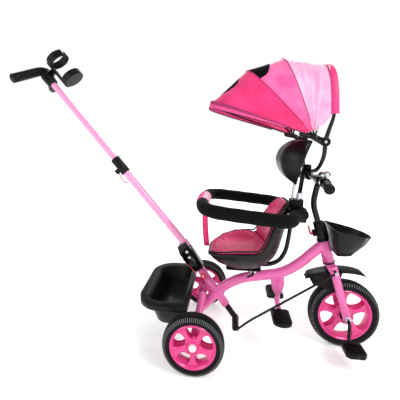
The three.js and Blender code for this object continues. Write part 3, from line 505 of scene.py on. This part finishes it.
def tread(name, body, x, z, sign, near, far, half, high, bore, round_end):
    """A moulded foot tread with a rounded outer end and cross ribs, bored for its axle."""
    outline = [(-half + 8, near), (-half, near + 8)]
    if round_end:
        reach = far - half * 0.8
        outline += [(-half * math.cos(TURN * k / 48), reach + half * 0.8 * math.sin(TURN * k / 48))
                    for k in range(25)]
    else:
        outline += [(-half, far - 10), (-half + 10, far), (half - 10, far), (half, far - 10)]
    outline += [(half, near + 8), (half - 8, near)]
    shape = bmesh.new()
    face = shape.faces.new([shape.verts.new(at(x + px, sign * py, z - high + 2.5))
                            for px, py in outline])
    raised = bmesh.ops.extrude_face_region(shape, geom=[face])["geom"]
    lifted = [v for v in raised if isinstance(v, bmesh.types.BMVert)]
    bmesh.ops.translate(shape, verts=lifted, vec=(0, 0, (2 * high - 5) / 1000))
    bmesh.ops.recalc_face_normals(shape, faces=shape.faces)
    rim_edges = [e for e in shape.edges if abs(e.verts[0].co.z - e.verts[1].co.z) < 1e-6]
    bmesh.ops.bevel(shape, geom=rim_edges, offset=0.0025, affect="EDGES", segments=3,
                    profile=0.5, material=-1)
    for side in (-1, 1):
        for k in range(int((far - near - 26) / 9) + 1):
            y = sign * (near + 12 + 9 * k)
            box(shape, (-half * 0.78, y - 1.8, side * (high - 3.5)),
                (half * 0.78, y + 1.8, side * high), Matrix.Translation(at(x, 0, z)), 0.8, 2)
    lathe(shape, [(bore + 3.5, near + 0.5), (bore + 3.5, near), (bore + 0.6, near)],
          Matrix.Translation(at(x, 0, z)) @ (AXIS_Y if sign > 0 else AXIS_Y.inverted()), 24)
    return built(name + "_moulded", shape, body, black_moulded_polypropylene, [name], angle=36)


CRANK, CRANK_ANGLE = 58, math.radians(7)
for side, sign in (("left", 1), ("right", -1)):
    tread(f"pedal_{side}", f"pedal_{side}", FRONT_X + sign * CRANK * math.sin(CRANK_ANGLE),
          FRONT_TYRE + sign * CRANK * math.cos(CRANK_ANGLE), sign, 100, 164, 33, 11, 5, False)
    tread(f"footrest_pad_{side}", "footrest", 302, 143, sign, 46, 144, 33, 9, 6, True)


# ---- bolts, screws, nuts and small fittings

def bolt(name, place, body, radius, height, finish, socket=True):
    """A domed bolt head on a washer, standing along a place's Z."""
    shape = bmesh.new()
    lathe(shape, [(0, -0.5), (radius * 1.35, -0.5), (radius * 1.35, height * 0.25),
                  (radius, height * 0.3), (radius * 0.92, height * 0.75),
                  (radius * 0.6, height), (radius * 0.35, height * (0.7 if socket else 1.08)),
                  (0, height * (0.6 if socket else 1.12))], place, 24)
    return built(name, outward(shape), body, finish, angle=34)


def side_of(name, x, z, sign=-1):
    """The place on a CAD node's side at x and z, with its Z out of the surface."""
    shape = bmesh.new()
    shape.from_mesh(frame["nodes"][name].data)
    point, normal, _, _ = BVHTree.FromBMesh(shape).ray_cast(
        at(x, sign * 500, z), Vector((0, -sign, 0)))
    shape.free()
    if point is None:
        raise ValueError(f"nothing of {name} is at {x}, {z}")
    return Matrix.Translation(point) @ facing(normal)


for sign, side in ((-1, "right"), (1, "left")):
    bolt(f"front_axle_nut_{side}", side_of("fork", FRONT_X, 134, sign)
         @ Matrix.Translation((0, -0.007, 0)), "steering", 9, 6, zinc_plate, False)
    hub = side_of("canopy_yoke", 413, 773, sign)
    bolt(f"canopy_hub_cap_{side}", hub, "canopy_mast", 11, 3.5, black_moulded_polypropylene)
    bolt(f"canopy_hub_bolt_{side}", hub @ Matrix.Translation((0, 0, 0.002)), "canopy_mast",
         3.4, 2.6, zinc_plate)
    bolt(f"canopy_bow_rivet_{side}", side_of("canopy_yoke", 373, 792, sign), "canopy_mast",
         6, 3.5, black_moulded_polypropylene)
    bolt(f"connector_bolt_upper_{side}", side_of("handle_connector", -50, 338, sign),
         "push_handle", 4.2, 3, zinc_plate)
    bolt(f"connector_bolt_lower_{side}", side_of("handle_connector", -40, 316, sign),
         "push_handle", 4.2, 3, zinc_plate)
bolt("link_rod_end_nut", Matrix.Translation(on(STEER, 0, -78.4, 190)) @ AXIS_Y.inverted(),
     "link_rod", 4.5, 3, zinc_plate)
bolt("footrest_bracket_screw", side_of("footrest_arm", 302, 206), "footrest", 5, 3, zinc_plate)

# The knob that pins the push handle's shaft in its sleeve.
knob_place = on(SLEEVE, 0, -15, -24)
knob_place = Matrix.Translation(knob_place) @ AXIS_Y.inverted()
shape = bmesh.new()
lathe(shape, [(0, 0), (5, 0), (5, 6), (9, 7), (10, 10), (9, 13), (4, 14.5), (0, 14.5)],
      knob_place, 30)
for k in range(5):
    lobe = knob_place @ Matrix.Rotation(TURN * k / 5, 4, "Z") @ Matrix.Translation((0.009, 0, 0))
    lathe(shape, [(0, 6.6), (3.6, 6.6), (4.6, 8), (4.6, 12), (3.6, 13.4), (0, 13.4)], lobe, 16)
built("sleeve_star_knob", shape, "frame", red_moulded_nylon, angle=34)
bolt("sleeve_knob_pin", knob_place @ Matrix.Translation((0, 0, 0.0145)), "frame", 2.6, 5,
     pale_moulded_abs, False)

# The clamp and lever round the seat's post.
post = Matrix.Translation(at(206, 0, 262))
shape = bmesh.new()
lathe(shape, [(14.8, 0), (17.4, 0), (17.8, 1), (17.8, 10), (17.4, 11), (14.8, 11), (14.8, 0)],
      post, 40)
built("seat_post_band", outward(shape), "frame", zinc_plate, angle=34)
shape = bmesh.new()
tube(shape, curve([at(206, -16, 268), at(204, -26, 268), at(196, -36, 265), at(182, -42, 262)],
                  18), [4.2 - 0.05 * i for i in range(18)], 14)
built("seat_post_lever", outward(shape), "frame", black_moulded_polypropylene, angle=60)


# ---- seat

SEAT_LINE = curve([at(x, 0, z) for x, z in (
    (40, 364), (72, 353), (118, 347), (170, 344), (216, 348), (245, 368), (264, 420),
    (286, 490), (310, 556))], 241)
SEAT_HALF = [62, 108, 124, 126, 124, 120, 112, 92, 60]
SEAT_RISE = [8, 36, 52, 56, 52, 38, 32, 24, 6]
SEAT_DEPTH = [24, 44, 54, 52, 42, 42, 40, 34, 24]
CORNER_PULL = 0.10
CREASE = 0.545   # where the seat cushion meets the back cushion, along the bucket
VOXEL = 4.5      # the size of the cushions' even mesh before they are blown up
FILLING, FILLING_FRAMES = 4.0, 20
SIDEWAYS = 0.12  # the share of the filling's sideways push that the sewn edge lets through


def seat_place(u, v, depth):
    """A place in the bucket: u from the front edge to the top, v across, at a depth."""
    last = len(SEAT_LINE) - 1
    spot = min(max(u, 0), 1) * last
    i = min(int(spot), last - 1)
    point = SEAT_LINE[i].lerp(SEAT_LINE[i + 1], spot - i)
    way = (SEAT_LINE[min(i + 2, last)] - SEAT_LINE[max(i - 1, 0)]).normalized()
    side = 2 * v - 1
    rise = eased(SEAT_RISE, u) * abs(side) ** 2.6 - depth * (1 - 0.35 * abs(side) ** 3)
    return point + Vector((-way.z * rise, side * eased(SEAT_HALF, u), way.x * rise)) / 1000


def layer(shape, u_from, u_to, top, bottom, across=20, along=34):
    """A closed skin between two depths of the bucket, given as functions of u and v."""
    bmesh.ops.create_cube(shape, size=1.0)
    for axis, cuts in enumerate((along, across, 3)):
        edges = [e for e in shape.edges if abs((e.verts[0].co - e.verts[1].co)[axis]) > 0.5]
        bmesh.ops.subdivide_edges(shape, edges=edges, cuts=cuts, use_grid_fill=True)
    for v in shape.verts:
        u, w, t = v.co.x + 0.5, v.co.y + 0.5, v.co.z + 0.5
        along_u = u_from + (u_to - u_from) * u
        # Round corners in plan: the ends are narrower than the middle.
        pull = 1 - CORNER_PULL * (abs(2 * u - 1) ** 6)
        bulge = 1 - 0.05 * (2 * t - 1) ** 2
        depth = bottom(u, w) + (top(u, w) - bottom(u, w)) * t
        v.co = seat_place(along_u, 0.5 + (w - 0.5) * pull * bulge, depth)


def puckered(u, w, count, reach):
    """Small gathers round a pad's edge, where its piping pulls the cover in."""
    near = max(0.0, 1 - min(w, 1 - w) / reach)
    return near * near * math.sin(TURN * count * u)


def apply_modifiers(made):
    """Replaces an object's mesh by what its modifiers make of it."""
    bpy.context.view_layer.update()
    made_of = made.evaluated_get(bpy.context.evaluated_depsgraph_get())
    mesh = bpy.data.meshes.new_from_object(made_of)
    made.modifiers.clear()
    old, made.data = made.data, mesh
    mesh.name = made.name
    bpy.data.meshes.remove(old)


def stuffed(made, cap, support):
    """Blows a padded cover up by simulation. No point moves further than cap millimetres, and
    hardly any towards the support."""
    remesh = made.modifiers.new("even", "REMESH")
    remesh.mode = "VOXEL"
    remesh.voxel_size = VOXEL / 1000
    apply_modifiers(made)
    before = [v.co.copy() for v in made.data.vertices]
    filling = made.modifiers.new("filling", "CLOTH")
    filling.settings.use_pressure = True
    filling.settings.uniform_pressure_force = FILLING
    filling.settings.effector_weights.gravity = 0.0
    filling.point_cache.frame_start = 1
    filling.point_cache.frame_end = FILLING_FRAMES
    for frame_number in range(1, FILLING_FRAMES + 1):
        scene.frame_set(frame_number)
    apply_modifiers(made)
    scene.frame_set(1)
    toward = Vector(support).normalized()
    for v, start in zip(made.data.vertices, before):
        move = v.co - start
        if move.length > cap / 1000:
            move *= cap / 1000 / move.length
        # The sewn edge keeps its outline, so the cover mostly rises.
        rise = max(-move.dot(toward), -0.0008)
        v.co = start - toward * rise + (move + toward * rise) * SIDEWAYS
    smooth = made.modifiers.new("smooth", "SUBSURF")
    smooth.levels = smooth.render_levels = 1
    made.data.shade_smooth()


def gathered_edge(made, u_from, u_to, count, height):
    """Fine gathers pressed into a pad's cover beside its piping."""
    steps, spread_over = 60, 0.040
    line = [seat_place(u_from + (u_to - u_from) * i / steps, v, 0) for v in (0.06, 0.94)
            for i in range(steps + 1)]
    for vertex in made.data.vertices:
        near, spot = min(((vertex.co - p).length, i) for i, p in enumerate(line))
        reach = max(0.0, 1 - near / spread_over)
        if reach and vertex.normal.z + vertex.normal.x * -0.6 > 0:
            u = (spot % (steps + 1)) / steps
            vertex.co += vertex.normal * (height / 1000 * reach * math.sin(TURN * count * u)
                                          * (0.6 + 0.4 * math.sin(TURN * 2.3 * u)))


def piping(name, u_end):
    """The welt round a pad's open sides: a cord in black cover, sewn into its edge."""
    depth, radius = 12.0, 3.0
    path = [(1 - i / 40, 0.0) for i in range(39)] + [(0.02, i / 24) for i in range(2, 23)] \
        + [(i / 40, 1.0) for i in range(2, 41)]
    line = [seat_place(u_end + (CREASE - u_end) * u,
                       0.5 + (w - 0.5) * (1 - CORNER_PULL * max(1 - 2 * u, 0) ** 6), depth)
            for u, w in path]
    shape = bmesh.new()
    tube(shape, spread(line, 160), radius, 10)
    return built(name, outward(shape), "seat", black_leatherette, angle=60)


PAD_BOTTOM = 14
shape = bmesh.new()
layer(shape, 0.008, 0.540,
      lambda u, w: -6.5 * (1 - (2 * w - 1) ** 4) * (1 - (2 * u - 1) ** 6)
      - 1.5 * math.cos(TURN * 2 * (w - 0.5)) * 0.6 + 1.4 * puckered(u, w, 11, 0.3)
      + 1.2 * puckered(w, u, 6, 0.22),
      lambda u, w: PAD_BOTTOM)
seat_cushion = built("crimson_seat_cushion", outward(shape), "seat", crimson_leatherette,
                     ["seat_pad"], angle=60)
stuffed(seat_cushion, 6, (0, 0, -1))
gathered_edge(seat_cushion, 0.02, 0.52, 11, 3.4)
piping("seat_cushion_piping", 0.004)
shape = bmesh.new()
layer(shape, 0.538, 0.992,
      lambda u, w: -5 * (1 - (2 * w - 1) ** 4) * (1 - (2 * u - 1) ** 6)
      + 1.2 * puckered(u, w, 10, 0.28),
      lambda u, w: PAD_BOTTOM)
back_cushion = built("crimson_back_cushion", outward(shape), "seat", crimson_leatherette,
                     ["back_pad"], angle=60)
stuffed(back_cushion, 5, (1, 0, 0))
gathered_edge(back_cushion, 0.55, 0.985, 12, 1.6)
piping("back_cushion_piping", 0.996)
shape = bmesh.new()
layer(shape, 0.0, 1.0,
      lambda u, w: PAD_BOTTOM + 2,
      lambda u, w: 1.02 * eased(SEAT_DEPTH, u) + 3.8 * puckered(u, w, 22, 0.35),
      across=24, along=70)
bucket = built("black_leatherette_bucket", outward(shape), "seat", black_leatherette,
               ["seat_shell"], angle=60)

headrest = polished("headrest", black_leatherette, 50)


# ---- guard ring

RING_LINE = [(12, 0.6), (12, 26), (13, 60), (18, 100), (32, 135), (62, 158), (110, 165),
             (205, 166), (285, 163), (312, 148), (326, 118), (338, 84), (358, 50), (377, 30),
             (377, 19.5)]


def ring_line(sign, count):
    """The middle of one half of the guard ring, which slopes down to the back."""
    return curve([at(x, sign * y, 542 - 0.102 * x) for x, y in RING_LINE], count)


for side, sign in (("left", 1), ("right", -1)):
    line = ring_line(sign, 60)
    shape = bmesh.new()
    tube(shape, line, [23 - 0.5 * math.sin(i * 0.9) for i in range(len(line))], 28)
    built(f"{side}_foam_guard", outward(shape), f"guard_{side}", black_foam_knit,
                        [f"guard_ring_{side}"], angle=60)
for side, sign in (("left", 1), ("right", -1)):
    line = [p for p in ring_line(sign, 120) if abs(p.y) < 0.066 and p.x < at(60, 0, 0).x]
    shape = bmesh.new()
    radii = [24.6 + 0.5 * math.sin(i * 1.7) for i in range(len(line))]
    radii[-1] = radii[-2] = 23.9
    tube(shape, line, radii, 28)
    built(f"{side}_guard_sleeve", outward(shape), f"guard_{side}",
                        sleeve_polyester, angle=60)
strap = polished("crotch_strap", pink_polyester, 60)
for side in (-1, 1):
    shape = bmesh.new()
    line = [at(18 + 8 * v - 3 * math.sin(math.pi * v) + side * 8.4, 0, 516 - 156 * v)
            for v in (i / 24 for i in range(25))]
    tube(shape, line, [2.3] * 25, 8, 0.45)
    built(f"crotch_strap_edge_{'rear' if side < 0 else 'front'}", outward(shape),
                       "seat", wine_binding, angle=60)


# ---- canopy

# Each bow, from the front: its body, its angle above level, its reach and its half width.
BOWS = [("front_bow", 18.8, 351, 150), ("rib_2", 47.5, 306, 157), ("rib_3", 71.5, 277, 164),
        ("canopy_mast", 104.5, 245, 171)]
BOW_BODIES, ANGLES, REACHES, HALVES = zip(*BOWS)
HINGE_X, HINGE_Z = 373, 792
HOOP_SQUARE = 0.66   # below 1 the bows have flatter tops and rounder corners than a half circle
COVER_LIFT = 5.0     # from a bow's line to the cover stretched over it
FOLDS = [1.2, 1.8, 3.0]   # how deep the folds of each panel are, from the front
REAR_HEM_X = 434.5


def hoop(k, f, lift=0.0, turned=0.0):
    """A place over bow k: f runs over the top from side to side, and the place stands lift
    millimetres outside the bow's line and turned degrees behind it."""
    angle, turn = math.radians(ANGLES[k] + turned), math.pi * f
    out = (REACHES[k] + lift) * max(math.sin(turn), 0) ** HOOP_SQUARE
    y = -(HALVES[k] + lift) * math.copysign(abs(math.cos(turn)) ** HOOP_SQUARE, math.cos(turn))
    return at(HINGE_X - out * math.cos(angle), y, HINGE_Z + out * math.sin(angle))


def bunched(v):
    """Spreads rows evenly over a bow's tight corners."""
    return v * v * (3 - 2 * v)


def cloth(name, across, along, place, depth, body, finish, replaced=()):
    """A piece of cloth laid out by place(u, v), and the area of one face of it."""
    shape = bmesh.new()
    field(shape, across, along, place)
    area = sum(face.calc_area() for face in shape.faces)
    thick(shape, shape.faces[:], depth)
    return built(name, outward(shape), body, finish, replaced, angle=70), area


def wrinkle(w, f, seed):
    """Shallow folds that run from the hinge out to the edge of the cover."""
    low = noise.noise(Vector((w * 7.0, abs(f - 0.5) * 2.2 + seed, seed)))
    fine = noise.noise(Vector((w * 16.0, abs(f - 0.5) * 3.0, seed + 5.0)))
    return 2.6 * low + 1.1 * fine


def cover_place(w, v, off):
    """A place on the cover stretched straight from bow to bow; v runs side to side."""
    i = min(int(w), 2)
    t = w - i
    f = 0.005 + 0.99 * v * v * (3 - 2 * v)
    point = hoop(i, f, off).lerp(hoop(i + 1, f, off), t)
    inward = at(HINGE_X, 0, HINGE_Z) - point
    inward.y = 0
    sag = 3.0 * math.sin(math.pi * t) * math.sin(math.pi * f)
    if inward.length > 1e-6:
        point += inward.normalized() * sag / 1000
    return point


def bow_strip(name, k, from_angle, to_angle, lift, ends, finish, rows=4):
    """A strip of cloth sewn along bow k, between two angles from it."""
    def place(u, v):
        return hoop(k, ends[0] + (ends[1] - ends[0]) * bunched(v),
                    lift + 1.2 * math.sin(math.pi * u),
                    from_angle + (to_angle - from_angle) * u)

    cloth(name, rows, 72, place, 0.9, BOW_BODIES[k], finish)


def bow_cord(name, k, turned, lift, radius, ends, finish):
    """A round seam or binding that runs along bow k."""
    shape = bmesh.new()
    tube(shape, [hoop(k, ends[0] + (ends[1] - ends[0]) * bunched(i / 89), lift, turned)
                 for i in range(90)], radius, 8)
    built(name, outward(shape), BOW_BODIES[k], finish, angle=70)


covers = []
# The middle and rear panels take the copies painted lighter as painted light.
for i, finish in enumerate((pink_polyester, painted_light_mid_polyester, painted_light_rear_polyester)):
    def panel_place(u, v, i=i):
        puff = FOLDS[i] * wrinkle(i + u, v, i) * math.sin(math.pi * u) ** 0.6
        return cover_place(i + u, v, COVER_LIFT + 0.6 * puff)

    cover, flat_area = cloth(f"canopy_panel_{i + 1}", 26, 84, panel_place, 1.0, None, finish,
                             ["canopy_fabric"] if i == 0 else ())
    hoop(i, 0.5)
    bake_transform(cover)
    covers.append((cover, flat_area))


# Two black mesh vents: one against the second bow, one on top of the front panel.
def rear_vent(u, v):
    side = 2 * v - 1
    return cover_place(1.02 + 0.62 * u * math.sqrt(max(1 - side * side, 0.0)),
                       0.5 + 0.170 * side, 6.6)


def front_vent(u, v):
    side = 2 * v - 1
    reach = 0.26 * math.sqrt(max(1 - side * side, 0.0))
    return cover_place(0.55 + reach * (2 * u - 1), 0.5 + 0.085 * side, 6.4)


for name, k, place in (("canopy_vent_rear", 1, rear_vent), ("canopy_vent_front", 0, front_vent)):
    vent, _ = cloth(name, 10, 30, place, 0.6, None, black_mesh)
    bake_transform(vent)

# The seams that hold the cover to its bows, and its bound edges.
for k in (1, 2):
    bow_cord(f"{BOW_BODIES[k]}_seam", k, 0, 6.0, 0.9, (0.02, 0.98), wine_binding)
bow_strip("front_hem_band", 0, 1.6, -0.4, 6.2, (0.03, 0.97), wine_binding)
bow_strip("front_valance", 0, -0.4, -2.9, 5.4, (0.04, 0.96), valance_polyester, rows=6)
bow_cord("front_edge_binding", 0, -3.0, 5.6, 1.5, (0.04, 0.96), black_binding)


def rear_place(out, f, lift):
    """A place on the rear flap, which hangs straight down from the top of the rear bow."""
    point = hoop(3, f, lift)
    point.x = at(REAR_HEM_X + out, 0, 0).x
    return point


def gusset_place(u, v):
    """The rear gusset fills in between the rear bow and the flap's rolled hem."""
    f = 0.014 + 0.972 * v
    far = rear_place(-12, f, 5.2)
    far.x -= 0.75 * max(0.862 - far.z, 0)
    return hoop(3, f, 5.2).lerp(far, u)


def hem_place(u, v, lift=6.6):
    """The rolled hem is 22 mm wide, and this goes from its front edge to its rear one."""
    return rear_place(-16 + 22 * u, 0.046 + 0.908 * v, lift + 1.6 * math.sin(math.pi * u))


# The rear gusset is in the pale copy, painted light.
cloth("rear_gusset", 10, 90, gusset_place, 0.9, "canopy_mast", painted_light_rear_polyester)
cloth("rear_rolled_hem", 8, 90, hem_place, 0.9, "canopy_mast", pink_polyester)
# A thin wine cord along the hem's front edge: a painted shadow line where the pale gusset meets
# the hem.
shape = bmesh.new()
tube(shape, [hem_place(0, i / 90, 6.8) for i in range(91)], 1.0, 8)
built("rear_hem_painted_shadow_line", outward(shape), "canopy_mast", wine_binding, angle=70)
for side, sign in (("left", 1), ("right", -1)):
    shape = bmesh.new()
    tube(shape, curve([at(413, sign * 146, 781), at(420, sign * 152, 812),
                       at(428, sign * 160, 846), at(431, sign * 163, 872)], 24),
         [7 - 0.09 * i for i in range(24)], 14, 0.6)
    built(f"canopy_rear_arm_{side}", outward(shape), "canopy_mast", black_powder_coat, angle=60)


# ---- the size of each canopy panel's cloth, worked out and not used

def cover_length(k):
    """The length of the cover over bow k from side to side, in metres."""
    line = [hoop(k, 0.005 + 0.99 * i / 400, COVER_LIFT) for i in range(401)]
    return sum((b - a).length for a, b in zip(line, line[1:]))


SEAM_ALLOWANCE = 0.012
for i, (cover, flat_area) in enumerate(covers):
    wide = (hoop(i, 0.5, COVER_LIFT) - hoop(i + 1, 0.5, COVER_LIFT)).length + SEAM_ALLOWANCE
    long = max(cover_length(i), cover_length(i + 1))
    min(flat_area, wide * long)

# ---- floor, light and camera

FLOOR_HALF, FLOOR_DROP = 9, 0.0005
floor_mesh = bmesh.new()
bmesh.ops.create_grid(floor_mesh, x_segments=1, y_segments=1, size=FLOOR_HALF,
                      matrix=Matrix.Translation((0, 0, -FLOOR_DROP)))
studio_floor, tree, shader, place = material(
    "matt white floor", "F4F3F4", 0.75, Emission_Color=(1, 1, 1, 1))
# The floor glows a little, and more so away from the tricycle.
away = node(tree, "ShaderNodeVectorMath", {0: place}, operation="LENGTH")
glow = node(tree, "ShaderNodeMapRange", {
    "Value": away.outputs["Value"], "From Min": 0.8, "From Max": 2.4, "To Min": 0.42,
    "To Max": 0.9})
tree.links.new(glow.outputs["Result"], shader.inputs["Emission Strength"])
floor = built("studio_floor", floor_mesh, None, studio_floor)

world = bpy.data.worlds.new("studio")
scene.world = world
world.use_nodes = True
# The studio's light is softer than its white backdrop looks.
tree = world.node_tree
tree.nodes.clear()
STUDIO_LIGHT, BACKDROP = 0.52, 1.0
seen = node(tree, "ShaderNodeLightPath").outputs["Is Camera Ray"]
strength = node(tree, "ShaderNodeMapRange", {
    "Value": seen, "To Min": STUDIO_LIGHT, "To Max": BACKDROP})
backdrop = node(tree, "ShaderNodeBackground", {
    "Color": (1, 1, 1, 1), "Strength": strength.outputs["Result"]})
node(tree, "ShaderNodeOutputWorld", {"Surface": backdrop.outputs["Background"]})


def softbox(name, place, aim, size, power):
    """A round lamp at a place in metres, pointed at aim, with its size and its watts."""
    lamp = bpy.data.lights.new(name, "AREA")
    lamp.shape = "DISK"
    lamp.size = size
    lamp.energy = power
    made = bpy.data.objects.new(name, lamp)
    scene.collection.objects.link(made)
    made.location = place
    made.rotation_euler = (Vector(aim) - Vector(place)).to_track_quat("-Z", "Y").to_euler()


softbox("key", (1.9, -1.6, 2.4), (0.1, 0, 0.6), 1.2, 46)
softbox("fill", (-2.2, -2.0, 1.8), (-0.1, 0, 0.5), 1.8, 22)
softbox("rim", (0.4, 2.2, 2.4), (0, 0, 0.7), 1.6, 26)

CAMERA_PLACE = (112, -1149, 789)
YAW, PITCH, ROLL = (math.radians(a) for a in (6.65, 4.60, 0.43))
lens = bpy.data.cameras.new("view")
lens.sensor_width = 36
lens.lens = 27.09
lens.shift_x = 0.0115
lens.shift_y = -0.10
lens.clip_start = 0.05
camera = bpy.data.objects.new("view", lens)
scene.collection.objects.link(camera)
ahead = Vector((-math.sin(YAW) * math.cos(PITCH), math.cos(YAW) * math.cos(PITCH),
                -math.sin(PITCH)))
right = Vector((math.cos(YAW), math.sin(YAW), 0))
above = right.cross(ahead)
tilted_right = right * math.cos(ROLL) + above * math.sin(ROLL)
tilted_up = above * math.cos(ROLL) - right * math.sin(ROLL)
camera.matrix_world = Matrix.Translation(at(*CAMERA_PLACE)) @ Matrix(
    (tilted_right, tilted_up, -ahead)).transposed().to_4x4()
scene.camera = camera
scene.view_settings.view_transform = "Standard"
